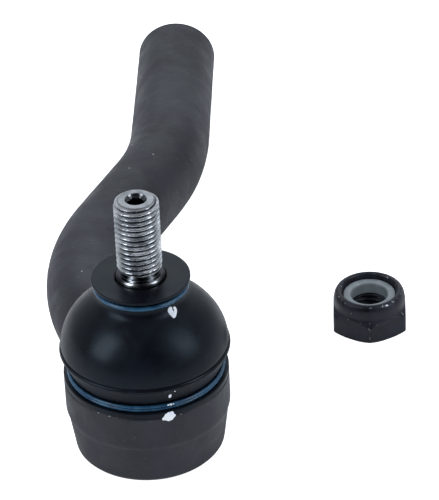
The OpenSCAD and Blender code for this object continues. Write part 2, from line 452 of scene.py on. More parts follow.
rubber = {
    "dark": lit(10, 11, 16),
    "light": lit(17, 20, 28),
    "dust": lit(120, 122, 124),
    "specular": 0.22,
    "sheen": (0.68, 0.84, 1.0, 1.0),
    "rough": (0.27, 0.40),
    "grain": (0.00035, 0.009),
    "specks": (0.0040, 0.07, 0.08),
    "bump": (0.22, 0.00006),
}


def bootRubber():
    # satin moulded rubber with a bloom in slow patches and a few specks of dust
    material, tree, shader, place = newFinish("bootRubber", specular=rubber["specular"])
    shader.inputs["Specular Tint"].default_value = rubber["sheen"]
    colour, rough = mottled(tree, shader, place, rubber)
    colour = blendColours(tree, specksOn(tree, place, *rubber["specks"]), colour, rubber["dust"])
    feed(tree, shader, Base_Color=colour, Roughness=rough)
    return material


wire = {
    "dark": lit(20, 62, 94),
    "light": lit(46, 94, 126),
    "scuff": lit(140, 175, 200),
    "rough": (0.20, 0.34),
    "grain": (0.0004, 0.0035),
    "wear": (0.30, 0.0012),
    "bump": (0.25, 0.00004),
}


def bluedWire():
    # blue coated spring wire, scuffed in short streaks
    material, tree, shader, place = newFinish("bluedWire")
    colour, rough = mottled(tree, shader, place, wire)
    colour = blendColours(tree, wearOn(tree, place, *wire["wear"]), colour, wire["scuff"])
    feed(tree, shader, Base_Color=colour, Roughness=rough)
    return material


black = {
    "dark": lit(20, 21, 30),
    "light": lit(40, 41, 54),
    "steel": lit(170, 173, 180),
    "rough": (0.34, 0.52),
    "bareRough": 0.27,
    "metal": (0.35, 0.95),  # black finish and bare steel
    "grain": (0.00030, 0.0042),
    "wear": (0.52, 0.0016),
    "bump": (0.30, 0.00005),
}


def blackenedSteel():
    # phosphated nut, rubbed bright on its corners and rim
    material, tree, shader, place = newFinish("blackenedSteel")
    colour, rough = mottled(tree, shader, place, black)
    wear = wearOn(tree, place, *black["wear"])
    feed(tree, shader, Base_Color=blendColours(tree, wear, colour, black["steel"]),
         Metallic=blendNumbers(tree, wear, *black["metal"]),
         Roughness=blendNumbers(tree, wear, rough, black["bareRough"]))
    return material


plain = {
    # finish: material, two tones, roughness, bump strength, metallic, and a painted glow
    "seal": ("sealPlastic", lit(30, 31, 34), lit(40, 42, 46), (0.40, 0.55), 0.2, 0.0, 0.0),
    "nylon": ("nutNylon", lit(122, 132, 136), lit(150, 157, 160), (0.35, 0.5), 0.2, 0.0, 0.0),
    "seat": ("seatPlastic", lit(226, 222, 208), lit(238, 235, 224), (0.3, 0.42), 0.2, 0.0, 0.0),
    # the paint's last value is a painted glow that brightens it
    "paint": ("markingPaint", lit(222, 230, 246), lit(250, 252, 255), (0.35, 0.6), 0.5, 0.0, 0.17),
    "plate": ("platedSteel", lit(150, 152, 152), lit(178, 178, 172), (0.28, 0.45), 0.2, 0.9, 0.0),
    "spring": ("springSteel", lit(98, 100, 108), lit(128, 130, 136), (0.3, 0.42), 0.2, 0.95, 0.0),
}
# painted light: the marking paint glows faintly, though it is no lamp
paintedGlowColour = (0.82, 0.9, 1.0, 1.0)  # the colour of the paint's faint glow


def plainFinish(name, dark, light, rough, bumpStrength, metallic, glow):
    # moulded plastic, paint or plated metal
    material, tree, shader, place = newFinish(name)
    shader.inputs["Metallic"].default_value = metallic
    # painted light: a faint glow that brightens the paint
    if glow:
        shader.inputs["Emission Color"].default_value = paintedGlowColour
        shader.inputs["Emission Strength"].default_value = glow
    colour, rough = mottled(tree, shader, place, {
        "dark": dark, "light": light, "rough": rough, "grain": (0.0004, 0.005),
        "bump": (bumpStrength, 0.00005)})
    feed(tree, shader, Base_Color=colour, Roughness=rough)
    return material


finishes = {
    "coat": forgedCoat(),
    "steel": turnedSteel(),
    "rubber": bootRubber(),
    "wire": bluedWire(),
    "black": blackenedSteel(),
}
finishes.update({finish: plainFinish(*values) for finish, values in plain.items()})
print("finishes made")


def finishPiece(piece, finish, slot, body, *replaced):
    piece.data.materials.append(finishes[finish])
    if replaced:
        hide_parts(*replaced)
    if body:
        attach(piece, body)
    return piece


# forged head; here and below, a pair is a radius and a height unless noted
head = {
    "around": 176,
    "foot": 19.0,
    "footEdge": (20.2, 1.2),
    "draftTop": (21.75, 11.9),
    "wall": 22.2,
    "shoulder": 22.4,
    "neck": 18.4,
    "flange": 19.3,
    "top": 27.4,
    "mouth": (14.2, 10.8),  # radius at the top and at the seat
    "seatTop": 22.0,
    "bore": 14.8,
    "ledge": 3.2,
    "recess": 16.4,
    "lip": (13.6, 1.0),
    "forgedTop": 12.4,  # the wall is turned smooth above this
    "forgedFrom": 19.4,
    "uneven": 0.07,
}


def headOutline():
    h = head
    return rounded([
        (h["lip"][0], 0, 0.45), (h["foot"], 0, 0.5), (*h["footEdge"], 0.5),
        (*h["draftTop"], 0.6), (h["wall"], 13.2, 0.6), (h["wall"], h["shoulder"] - 0.4, 0.12),
        (h["wall"] - 0.4, h["shoulder"], 0.12), (h["neck"], h["shoulder"], 0.3),
        (h["neck"], 25.9, 0.15), (h["flange"], 26.2, 0.12), (h["flange"], 27.0, 0.12),
        (h["flange"] - 0.4, h["top"], 0.12), (h["mouth"][0], h["top"], 0.2),
        (h["mouth"][1], h["seatTop"], 0.2), (h["bore"], h["seatTop"], 0.1),
        (h["bore"], h["ledge"], 0.1), (h["recess"], h["ledge"], 0.1),
        (h["recess"], h["lip"][1], 0.1), (h["lip"][0], h["lip"][1], 0.3),
    ])


def makeHead():
    rings = turned(spaced(headOutline(), 1.1, closed=True), head["around"])
    r, z = np.hypot(rings[..., 0], rings[..., 1]), rings[..., 2]
    forged = smoothStep((head["forgedTop"] - z) / 0.4)
    forged = forged * smoothStep((r - head["forgedFrom"]) / 0.6)
    push = head["uneven"] * forged * (ripple(rings, 13.0, 5) + 0.5 * ripple(rings, 5.0, 6) - 0.6)
    rings[..., :2] *= (1 + push / r)[..., None]
    piece = skin("forgedHead", rings, loop=True)
    edges = [(head["wall"] - 0.2, head["shoulder"] - 0.2), (head["footEdge"][0] - 0.5, 0.5)]
    mark(piece, "edge", nearCorners(rings, edges, 0.45))
    bore = (r < head["neck"] + 0.05) & ((z < head["seatTop"] + 0.1) | (r < head["mouth"][0]))
    mark(piece, "bare", np.where(bore & (z > 1.2), 0.8, 0.0))
    finishPiece(piece, "coat", "forged_steel", "housing", "tie_rod_forging")


makeHead()
print("head turned")


# forged shank
shank = {
    "around": 96,
    "height": 12.0,
    "radius": 12.0,
    "neckRadius": 9.6,
    "coneFrom": 22.0,
    "coneTo": 41.0,
    "heading": 22.5,
    "rootRun": 40.0,
    "nearBend": 62.0,
    "farBend": 75.0,
    "chamfer": 0.8,
    "fillet": (5.0, 0.4, 1.9),  # at the side, above and below
    "filletSink": 0.18,
    "joinAt": 31.0,
    "roughFrom": 22.0,
    "step": 1.0,
    "uneven": 0.07,
    "threadMinor": 7.19,
    "threadDepth": 0.82,
    "threadPitch": 1.5,
    "threadEnd": 36.5,
    "boreEnd": 38.0,
    "rowsPerPitch": 10,
}


def shankPath():
    # The heading changes evenly along each bend, so the centre line is the running sum of
    # short steps, each in the direction of the heading at its middle.
    turn = math.radians(shank["heading"])
    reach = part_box("tie_rod_forging")[1].y / mm
    nearArc, farArc = shank["nearBend"] * 2 * turn, shank["farBend"] * turn
    midRun = shank["rootRun"] - shank["farBend"] * math.tan(turn / 2)
    ahead = ((shank["rootRun"] + midRun) * math.cos(turn)
             + (2 * shank["nearBend"] + shank["farBend"]) * math.sin(turn))
    runs = np.array([shank["rootRun"], nearArc, midRun, farArc, reach - ahead])
    marks = np.concatenate([[0], np.cumsum(runs)])
    headings = np.array([turn, turn, -turn, -turn, 0, 0])
    fine = np.linspace(0, marks[-1], 4001)
    middle = np.interp((fine[1:] + fine[:-1]) / 2, marks, headings)
    steps = np.stack([-np.sin(middle), np.cos(middle)], -1) * np.diff(fine)[:, None]
    line = np.vstack([[0, 0], np.cumsum(steps, 0)])
    return marks, headings, fine, line


def carried(along, away, angle, path):
    # A point `away` from the centre line at distance `along` on it; angle 0 is to the left of
    # the direction of travel and 90 degrees is up.
    marks, headings, fine, line = path
    heading = np.interp(along, marks, headings)
    side = away * np.cos(angle)
    x = np.interp(along, fine, line[:, 0]) - side * np.cos(heading)
    y = np.interp(along, fine, line[:, 1]) - side * np.sin(heading)
    return np.stack([x, y, shank["height"] + away * np.sin(angle)], -1)


def wallAt(z):
    low, high = head["footEdge"], head["draftTop"]
    return np.where(z > 12.7, head["wall"], np.interp(z, [low[1], high[1]], [low[0], high[0]]))


def makeShank():
    path = shankPath()
    total = path[0][-1]
    u = circle(shank["around"])
    neck, radius = shank["neckRadius"], shank["radius"]
    sideFillet, topFillet, lowFillet = shank["fillet"]
    spread = sideFillet * np.cos(u) ** 2 + np.where(
        np.sin(u) > 0, topFillet, lowFillet) * np.sin(u) ** 2

    def onWall(away, sink):
        # distance along the shank's axis at which a line `away` from it meets the head's wall
        wall = wallAt(shank["height"] + away * np.sin(u)) - sink
        return np.sqrt(wall ** 2 - (away * np.cos(u)) ** 2)

    # the fillet curves from the wall into the neck, and the neck grows into the round shank
    outer = neck + spread
    t = np.linspace(0, 1, 9)[:, None]
    foot, corner = onWall(outer, shank["filletSink"]), onWall(neck, 0.0)
    filletAlong = (1 - t) ** 2 * foot + 2 * t * (1 - t) * corner + t ** 2 * (corner + spread)
    filletAway = (1 - t) ** 2 * outer + 2 * t * (1 - t) * neck + t ** 2 * neck
    join = np.linspace(0, 1, 7)[1:, None]
    joinAlong = (corner + spread) * (1 - join) + shank["joinAt"] * join
    stop = total - shank["chamfer"] - 0.3
    rows = int((stop - shank["joinAt"]) / shank["step"])
    runAlong = np.linspace(shank["joinAt"], stop, rows)[1:, None] + 0 * u
    plainAlong = np.vstack([joinAlong, runAlong])
    cone = smoothStep((plainAlong - shank["coneFrom"]) / (shank["coneTo"] - shank["coneFrom"]))
    plainAway = neck + (radius - neck) * cone
    # chamfered end, countersunk mouth, tapped bore and the drill's cone
    bore = shank["threadMinor"]
    end = spaced(rounded([
        (radius, total - 1.3, 0), (radius, total - shank["chamfer"], 0.25),
        (radius - shank["chamfer"], total, 0.25), (bore + 1.2, total, 0.1),
        (bore + 0.1, total - 1.1, 0.1), (bore, total - 1.4, 0),
    ]), 1.2)[1:]
    endAlong, endAway = end[:, 1:] + 0 * u, end[:, :1] + 0 * u
    pitch = shank["threadPitch"]
    threadRows = int((shank["threadEnd"] - 1.5) / pitch * shank["rowsPerPitch"])
    threadAlong = total - np.linspace(1.5, shank["threadEnd"], threadRows)[:, None] + 0 * u
    wave = threadWave(threadAlong, u, pitch)
    fade = smoothStep((threadAlong - (total - shank["threadEnd"])) / (1.5 * pitch))
    mouth = bore + 1.2 - (total - threadAlong)
    threadAway = np.maximum(bore + shank["threadDepth"] * wave * fade, mouth)
    tail = np.array([(bore - 0.05, shank["boreEnd"]), (bore - 0.5, shank["boreEnd"] + 0.1),
                     (1.0, shank["boreEnd"] + 3.0)])
    tailAlong, tailAway = total - tail[:, 1:] + 0 * u, tail[:, :1] + 0 * u
    startAlong, startAway = onWall(outer + 0.2, 1.4), outer + 0.2
    along = np.vstack([startAlong, filletAlong, plainAlong, endAlong, threadAlong, tailAlong])
    away = np.vstack([startAway, filletAway, plainAway, endAway, threadAway, tailAway])
    # only the forged outside is uneven, and it fades out towards the head
    outside = np.zeros(len(along), bool)
    outside[1:1 + len(filletAlong) + len(plainAlong)] = True
    angle = u + 0 * along
    rings = carried(along, away, angle, path)
    rough = shank["uneven"] * (ripple(rings, 16.0, 11) + 0.6 * ripple(rings, 6.0, 12) - 0.7)
    hold = smoothStep((along - shank["roughFrom"]) / 8.0) * outside[:, None]
    rings = carried(along, away + rough * hold, angle, path)
    piece = skin("forgedShank", rings, startPole=True, endPole=True)
    inside = len(startAlong) + len(filletAlong) + len(plainAlong)
    edge = np.zeros_like(along)
    edge[inside:inside + 12] = 0.8  # the rows of the end's chamfer
    mark(piece, "edge", edge)
    bare = np.zeros_like(along)
    deep = np.clip((away[inside:] - bore) / shank["threadDepth"], 0, 1)
    bare[inside:] = np.where(away[inside:] < bore + 1.6, 0.8 - 0.6 * deep, 0.0)
    mark(piece, "bare", bare)
    finishPiece(piece, "coat", "forged_steel", "housing", "tie_rod_forging")


makeShank()
print("shank drawn")


# ball stud
stud = {
    "around": 144,
    "ballRadius": 12.0,
    "ballHeight": 16.0,
    "ballFlat": 5.6,
    "waist": 6.2,
    "waistTop": 30.0,
    "taperRoot": (7.84, 33.0),
    "taperTop": (6.5, 54.5),
    "relief": 5.1,
    "threadRadius": 6.0,
    "threadDepth": 0.90,
    "pitch": 1.5,
    "threadFrom": 55.7,
    "tip": (4.65, 77.0),
    "tipDrop": 1.35,
    "driveRadius": 2.12,
    "driveLobe": 0.30,
    "driveMouth": 2.55,
    "driveDepth": 4.5,
    # painted shade: darker in the drive recess than on the tip's top face
    "recessAndTipShade": (0.85, 0.62),  # in the drive recess and on the tip
    # painted shade in the relief under the thread
    "reliefShade": (53.4, 0.97),  # lowest height and darkness in the relief under the thread
    # where the relief's painted shade is left off, under the two highlights
    "shadeGaps": ((-20, 13, 1.0), (38, 18, 0.55)),  # azimuth from the front, spread, share
    "rowsPerPitch": 14,
}


def makeStud():
    s = stud
    tipRadius, tipTop = s["tip"]
    flatRadius = math.sqrt(s["ballRadius"] ** 2 - (s["ballHeight"] - s["ballFlat"]) ** 2)
    lowest = -math.degrees(math.acos(flatRadius / s["ballRadius"]))
    highest = math.degrees(math.acos(s["waist"] / s["ballRadius"])) - 1.0
    ball = bowl(s["ballRadius"], s["ballHeight"], lowest + 2, highest, 56)
    ballTop = ball[-1]
    body = rounded([
        (0.6, s["ballFlat"], 0), (flatRadius, s["ballFlat"], 0.3), (ball[0][0], ball[0][1], 0),
    ])[:-1]
    shaft = rounded([
        (ballTop[0], ballTop[1], 0), (s["waist"], ballTop[1] + 0.8, 0.6),
        (s["waist"], s["waistTop"], 1.2), (*s["taperRoot"], 0.5), (6.53, 54.0, 0.2),
        (6.1, s["taperTop"][1], 0.2), (s["relief"], s["taperTop"][1] + 0.05, 0.2),
        (s["relief"], s["threadFrom"] - 0.1, 0),
    ])[1:]
    shaft = spaced(shaft, 0.9)
    rows = int((tipTop - s["threadFrom"]) / s["pitch"] * s["rowsPerPitch"])
    z = np.linspace(s["threadFrom"], tipTop - 0.28, rows)
    threadLine = np.stack([np.full_like(z, s["threadRadius"]), z], -1)
    top = rounded([
        (tipRadius + 0.2, tipTop - 0.2, 0), (tipRadius, tipTop, 0.25),
        (s["driveMouth"] + 0.35, tipTop, 0.12), (s["driveMouth"], tipTop - 0.55, 0.1),
        (s["driveRadius"], tipTop - 0.9, 0.1),
        (s["driveRadius"], tipTop - s["driveDepth"], 0.3),
        (0.3, tipTop - s["driveDepth"] - 0.4, 0),
    ])[1:]
    top = spaced(top, 0.7)
    line = np.vstack([body, ball, shaft, threadLine, top])
    rings = turned(line, s["around"])
    a = circle(s["around"])
    radius = line[:, :1] + 0 * a
    height = line[:, 1:] + 0 * a
    first = len(body) + len(ball) + len(shaft)
    last = first + len(threadLine)
    wave = threadWave(height, a, s["pitch"])
    # the thread runs out at the relief and under the rounded tip
    start = s["relief"] + np.maximum(height - s["threadFrom"] + 0.05, 0) * 0.9
    over = np.clip((height - (tipTop - s["tipDrop"])) / s["tipDrop"], 0, 1)
    tipLimit = s["threadRadius"] - (s["threadRadius"] - tipRadius) * over ** 1.6
    thread = np.minimum(s["threadRadius"] - s["threadDepth"] * wave, np.minimum(start, tipLimit))
    radius[first:last] = thread[first:last]
    drive = (line[:, 0] <= s["driveRadius"] + 0.01) & (line[:, 1] > s["threadFrom"])
    recess = (line[:, 0] <= s["driveMouth"] + 0.25) & (line[:, 1] > s["threadFrom"])
    deep = smoothStep((tipTop - 0.7 - height) / 0.5) * np.minimum(radius / 2.0, 1.0)
    radius += np.where(drive[:, None], s["driveLobe"] * np.cos(6 * a) * deep, 0)
    rings[..., 0], rings[..., 1] = radius * np.cos(a), radius * np.sin(a)
    piece = skin("ballStud", rings, startPole=True, endPole=True, sharpAngle=50)
    root = np.zeros_like(radius)
    # painted shade in the thread's roots
    root[first:last] = smoothStep((wave[first:last] - 0.35) / 0.6)
    # painted shade in the drive recess and on the tip's top face
    root[last:] = np.where(recess[last:, None], *s["recessAndTipShade"])
    # painted shade darkens the relief under the thread, left off in two places where the
    # highlights fall
    shadeLow, shadeDark = s["reliefShade"]
    azimuth = (np.degrees(a) + 90 + 180) % 360 - 180
    shadeGaps = np.maximum.reduce([share * np.exp(-((azimuth - middle) / spread) ** 2)
                               for middle, spread, share in s["shadeGaps"]])
    relief = smoothStep((height - shadeLow) / 0.5)
    relief = relief * smoothStep((s["threadFrom"] + 0.5 - height) / 0.4)
    root = np.maximum(root, shadeDark * relief * (1 - shadeGaps))
    mark(piece, "root", root)
    finishPiece(piece, "steel", "stud_steel", "stud", "ball_stud")


makeStud()
print("stud threaded")


# dust boot
boot = {
    "around": 176,
    "domeRadius": 22.5,
    "domeRise": 18.0,
    "ridge": 31.8,
    "wall": 1.6,
    "lowHold": 27.0,  # with highHold, heights below and above the seam
    "seam": 39.0,
    "highHold": 49.6,
    "lip": (22.2, 22.5, 24.1),
    "groove": (20.3, 25.9),
    "bead": (22.95, 31.35),
    "neck": 11.4,
    "collar": (13.15, 52.3, 53.2),
    "hole": 7.7,
    "holeLip": 6.95,
}


def domeLine(first, last, inset, count):
    # an ellipse: r = (radius - inset) cos t, z = ridge + (rise - inset) sin t
    t = np.linspace(first, last, count)
    r = (boot["domeRadius"] - inset) * np.cos(t)
    return np.stack([r, boot["ridge"] + (boot["domeRise"] - inset) * np.sin(t)], -1)


def seamAngle(inset):
    return math.asin((boot["seam"] - boot["ridge"]) / (boot["domeRise"] - inset))


def lowerOutside():
    b = boot
    lipRadius, lipLow, lipHigh = b["lip"]
    return rounded([
        (18.5, lipLow, 0.1), (lipRadius, lipLow, 0.25), (lipRadius, lipHigh, 0.25),
        (b["groove"][0], lipHigh, 0.15), (b["groove"][0], b["groove"][1], 0.25),
        (20.8, 26.6, 0.5), (21.5, 28.7, 1.6), (22.6, 30.95, 0.8), (*b["bead"], 0.25),
        (22.82, 31.8, 0.3), (22.46, 32.25, 0.3),
    ])


def lowerOutline():
    outside = np.vstack([lowerOutside(), domeLine(0.06, seamAngle(0), 0, 15)])
    inside = domeLine(seamAngle(boot["wall"]), 0.0, boot["wall"], 12)
    tail = rounded([
        (19.6, 28.6, 0.4), (19.5, 27.2, 0.3), (19.5, 25.9, 0.1), (18.5, 25.5, 0.1),
    ])
    return np.vstack([outside, inside, tail])


def upperOutline():
    b = boot
    collarRadius, collarLow, collarTop = b["collar"]
    outside = domeLine(seamAngle(0), math.radians(50), 0, 22)
    neck = rounded([
        (14.3, 45.7, 0), (b["neck"], 47.65, 2.3), (b["neck"], 51.6, 0.2),
        (collarRadius - 0.25, collarLow - 0.1, 0.15), (collarRadius, collarLow + 0.2, 0.12),
        (collarRadius, collarTop - 0.12, 0.1), (collarRadius - 0.2, collarTop, 0.08),
        (b["holeLip"], collarTop, 0.15), (b["holeLip"] + 0.1, collarTop - 0.55, 0.1),
        (b["hole"], collarTop - 0.7, 0.06), (b["hole"], 48.4, 0.1), (9.8, 48.2, 0.2),
    ])[1:]
    inside = domeLine(math.radians(54), seamAngle(b["wall"]), b["wall"], 20)
    return np.vstack([outside, neck, inside])


def followBoot(piece):
    # a piece of the boot, or paint on it, has its placement baked into its mesh; it is not
    # attached to a body and does not bend
    top = max(corner[2] for corner in piece.bound_box) / mm
    if top <= boot["seam"] + 0.5:
        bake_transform(piece)
    else:
        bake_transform(piece)


def makeBoot():
    for name, outline in (("bootLower", lowerOutline()), ("bootUpper", upperOutline())):
        section = turned(spaced(outline, 0.8, closed=True), boot["around"])
        piece = skin(name, section, loop=True, sharpAngle=45)
        finishPiece(piece, "rubber", "boot_rubber", None, "dust_boot")
        followBoot(piece)


makeBoot()
print("boot moulded")


# boot rings
ringSizes = {
    "lowRadius": 20.85,
    "lowHeights": (24.58, 25.42),
    "lowWire": 0.425,
    "topRadius": 12.15,
    "topHeight": 50.7,
    "topWire": 0.65,
    "start": 96.0,
    "turn": 686,  # degrees of wire in the lower ring
    "climbFrom": 326,
    "climb": 32,
    "sides": 14,
}


def wireAlong(name, centre, tangent, wireRadius):
    # A round section is carried along the centre line in the plane across the tangent; each
    # end is cut square with a small burr-free edge.
    up = np.array([0, 0, 1.0])
    side = np.cross(tangent, up)
    side /= np.linalg.norm(side, axis=1)[:, None]
    top = np.cross(side, tangent)
    u = circle(ringSizes["sides"])[..., None]
    radius = np.full(len(centre), wireRadius)
    radius[[0, -1]] *= 0.8
    tube = centre[:, None] + radius[:, None, None] * (
        np.cos(u) * top[:, None] + np.sin(u) * side[:, None])
    return skin(name, tube, startPole=True, endPole=True, sharpAngle=50)


def makeRings():
    # The lower ring is nearly two turns: it keeps its height for most of the first turn, and
    # climbs one wire's thickness just before the turn closes.
    s = ringSizes
    turn = np.linspace(0, s["turn"], 520)
    turn = np.concatenate([[-0.15], turn, [s["turn"] + 0.15]])
    a = np.radians(turn + s["start"])
    low, high = s["lowHeights"]
    centre = s["lowRadius"] * np.stack([np.cos(a), np.sin(a), 0 * a], -1)
    centre[:, 2] = low + (high - low) * smoothStep((turn - s["climbFrom"]) / s["climb"])
    tangent = np.gradient(centre, axis=0)
    tangent /= np.linalg.norm(tangent, axis=1)[:, None]
    piece = wireAlong("ringBottom", centre, tangent, s["lowWire"])
    mark(piece, "edge", np.full(len(centre) * s["sides"], 0.8))
    finishPiece(piece, "wire", "ring_blue", "housing", "boot_bottom_ring")
    turn = np.concatenate([[0.9], np.linspace(1.4, 358.6, 240), [359.1]])
    a = np.radians(turn + s["start"])
    centre = s["topRadius"] * np.stack([np.cos(a), np.sin(a), 0 * a], -1)
    centre[:, 2] = s["topHeight"]
    tangent = np.stack([-np.sin(a), np.cos(a), 0 * a], -1)
    piece = wireAlong("ringTop", centre, tangent, s["topWire"])
    mark(piece, "edge", np.full(len(centre) * s["sides"], 0.7))
    finishPiece(piece, "wire", "ring_blue", "boot_top", "boot_top_ring")


makeRings()
print("rings wound")


# small turned pieces
def taperRadius(z):
    # the stud's taper is 1 in 8 on the diameter
    return stud["taperTop"][0] + (stud["taperTop"][1] - z) / 16


def makeTurned(name, outline, finish, slot, body, node, closed=True, around=128, longest=1.2):
    line = spaced(rounded(outline), longest, closed=closed)
    piece = skin(name, turned(line, around), loop=closed, startPole=not closed,
                 endPole=not closed)
    return finishPiece(piece, finish, slot, body, node)


seals = {"radius": 7.6, "top": 52.45, "base": 48.3, "gap": 0.22}
makeTurned("sealRing", [
    (taperRadius(seals["base"]) + seals["gap"], seals["base"], 0.25),
    (seals["radius"], seals["base"], 0.3), (seals["radius"], seals["top"], 0.18),
    (taperRadius(seals["top"]) + seals["gap"], seals["top"], 0.3),
], "seal", "seal_ring", "boot_top", "stud_seal_ring", longest=0.6)

seats = {"radius": 14.7, "socket": 12.05, "middle": 16.0, "gap": 0.1, "low": 4.7, "high": 22.0}


def makeSeats():
    s = seats
    highEdge = math.degrees(math.asin((s["high"] - s["middle"]) / s["socket"]))
    lowEdge = math.degrees(math.asin((s["middle"] - s["low"]) / s["socket"])) - 5
    upperBowl = bowl(s["socket"], s["middle"], highEdge - 1, 0.9, 24)
    lowerBowl = bowl(s["socket"], s["middle"], -0.9, -lowEdge, 40)
    socket = s["socket"] + 0.2
    over, under = s["middle"] + s["gap"], s["middle"] - s["gap"]
    upper = np.vstack([rounded([
        (socket, over, 0.1), (s["radius"], over, 0.2), (s["radius"], s["high"], 0.5),
        (upperBowl[0][0] + 0.2, s["high"], 0.1)]), upperBowl])
    lower = np.vstack([rounded([
        (lowerBowl[-1][0] + 0.1, s["low"], 0.1), (s["radius"], s["low"], 0.5),
        (s["radius"], under, 0.2), (socket, under, 0.1)]), lowerBowl])
    for name, line, node in (("seatUpper", upper, "upper_bearing_seat"),
                             ("seatLower", lower, "lower_bearing_seat")):
        piece = skin(name, turned(spaced(line, 1.2, closed=True), 112), loop=True)
        finishPiece(piece, "seat", "seat_plastic", "housing", node)


makeSeats()
spring = {"inner": 6.0, "outer": 13.8, "low": 3.0, "rise": 0.9, "sheet": 0.8}
makeTurned("discSpring", [
    (spring["inner"], spring["low"] + spring["rise"], 0.15),
    (spring["outer"], spring["low"], 0.15),
    (spring["outer"], spring["low"] + spring["sheet"], 0.15),
    (spring["inner"], spring["low"] + spring["rise"] + spring["sheet"], 0.15),
], "spring", "spring_steel", "housing", "preload_spring")
cover = {"radius": 16.3, "ledge": 1.0, "top": 3.0, "boss": 11.0, "dish": 9.5, "floor": 2.0}
makeTurned("coverPlate", [
    (0.8, 0.35, 0), (7.6, 0.35, 0.4), (8.4, 0.0, 0.5), (cover["boss"] - 0.4, 0.0, 0.3),
    (cover["boss"], 0.5, 0.25), (cover["boss"], cover["ledge"], 0.25),
    (cover["radius"], cover["ledge"], 0.15), (cover["radius"], cover["top"], 0.3),
    (cover["dish"], cover["top"], 0.3), (cover["dish"], cover["floor"], 0.3),
    (0.8, cover["floor"], 0),
], "plate", "cover_steel", "housing", "closing_cover", closed=False)
print("inner pieces turned")


# lock nut
nutLow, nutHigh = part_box("lock_nut")
nut = {
    "centre": ((nutLow.x + nutHigh.x) / 2 / mm, (nutLow.y + nutHigh.y) / 2 / mm),
    "flats": (nutHigh.x - nutLow.x) / mm,
    "height": nutHigh.z / mm,
    "chamferFoot": (10.4, 0.9),
    "hexTop": 4.9,
    "collar": (10.05, 6.9),
    "rim": (7.6, 10.2),
    "pocket": 6.3,
    "threadMinor": 5.19,
    "threadDepth": 0.8,
    "pitch": 1.5,
    "around": 192,
    "rowsPerPitch": 14,
    "soft": 0.10,
    "ringInner": 5.2,
    "ringOuter": 7.4,
    "ringTop": 9.75,
}


def makeNut():
    n = nut
    corner = n["flats"] / math.sqrt(3)
    envelope = spaced(rounded([
        (6.3, 0, 0.1), (n["chamferFoot"][0], 0, 0.2), (corner + 0.3, n["chamferFoot"][1], 0.2),
        (corner + 0.3, n["hexTop"], 0.3), (n["collar"][0], n["collar"][1], 0.5),
        (n["collar"][0], n["height"] - 1.7, 1.0), (9.4, n["height"] - 0.4, 0.5),
        (8.5, n["height"], 0.4), (7.95, n["height"] - 0.25, 0.3), (n["rim"][0], n["rim"][1], 0.3),
        (n["rim"][0], n["pocket"], 0.1), (n["threadMinor"] + 0.1, n["pocket"], 0),
    ])[:-1], 0.22)
    a = circle(n["around"])
    toCorner = (a + np.pi / 6) % (np.pi / 3) - np.pi / 6  # 0 on the middle of a flat
    hexagon = n["flats"] / 2 / np.cos(toCorner)
    hexagon = np.minimum(hexagon, corner - 0.18)
    limit = envelope[:, :1] + 0 * a
    # the lesser of the six flats and the turned envelope, with the crossing slightly softened
    gap = limit - hexagon
    radius = (limit + hexagon - np.sqrt(gap ** 2 + n["soft"] ** 2)) / 2
    outer = envelope[:, :1] > 8.5
    radius = np.where(outer, radius, limit)
    z = envelope[:, 1:] + 0 * a
    rows = int((n["pocket"] - 0.1) / n["pitch"] * n["rowsPerPitch"])
    threadZ = np.linspace(n["pocket"] - 0.05, 0.12, rows)[:, None] + 0 * a
    wave = threadWave(threadZ, a, n["pitch"])
    # the thread, opened out at the foot and where it meets the nylon ring's pocket
    bore = np.maximum.reduce([
        n["threadMinor"] + n["threadDepth"] * wave,
        np.where(threadZ < 1.1, n["threadMinor"] + 1.0 - threadZ, 0),
        np.where(threadZ > n["pocket"] - 0.3, n["threadMinor"] + 0.6, 0),
    ])
    radius, z = np.vstack([radius, bore]), np.vstack([z, threadZ])
    x, y = n["centre"]
    points = np.stack([x + radius * np.cos(a), y + radius * np.sin(a), z], -1)
    piece = skin("nutBody", points, loop=True, sharpAngle=34)
    ridge = np.exp(-(np.abs(toCorner) - np.pi / 6) ** 2 / 0.05 ** 2) * np.ones_like(radius)
    high = np.exp(-((z - n["height"] + 0.4) / 0.6) ** 2) * (radius > 7.7)
    bevel = np.zeros_like(radius)
    bevel[:len(envelope)] = np.exp(-(gap / 0.45) ** 2) * outer
    edge = np.maximum.reduce([ridge * (radius > 10.2) * 0.9, high * 0.85, bevel * 0.8])
    mark(piece, "edge", edge)
    finishPiece(piece, "black", "nut_steel", "nut", "lock_nut")
    ring = spaced(rounded([
        (n["ringInner"], n["pocket"] + 0.02, 0.2), (n["ringOuter"], n["pocket"] + 0.02, 0.1),
        (n["ringOuter"], n["ringTop"], 0.25), (n["ringInner"], n["ringTop"], 0.6),
    ]), 0.8, closed=True)
    points = turned(ring, 128) + np.array([x, y, 0])
    finishPiece(skin("nutInsert", points, loop=True), "nylon", "nut_nylon", "nut",
                "lock_nut_insert")


makeNut()
print("nut cut")


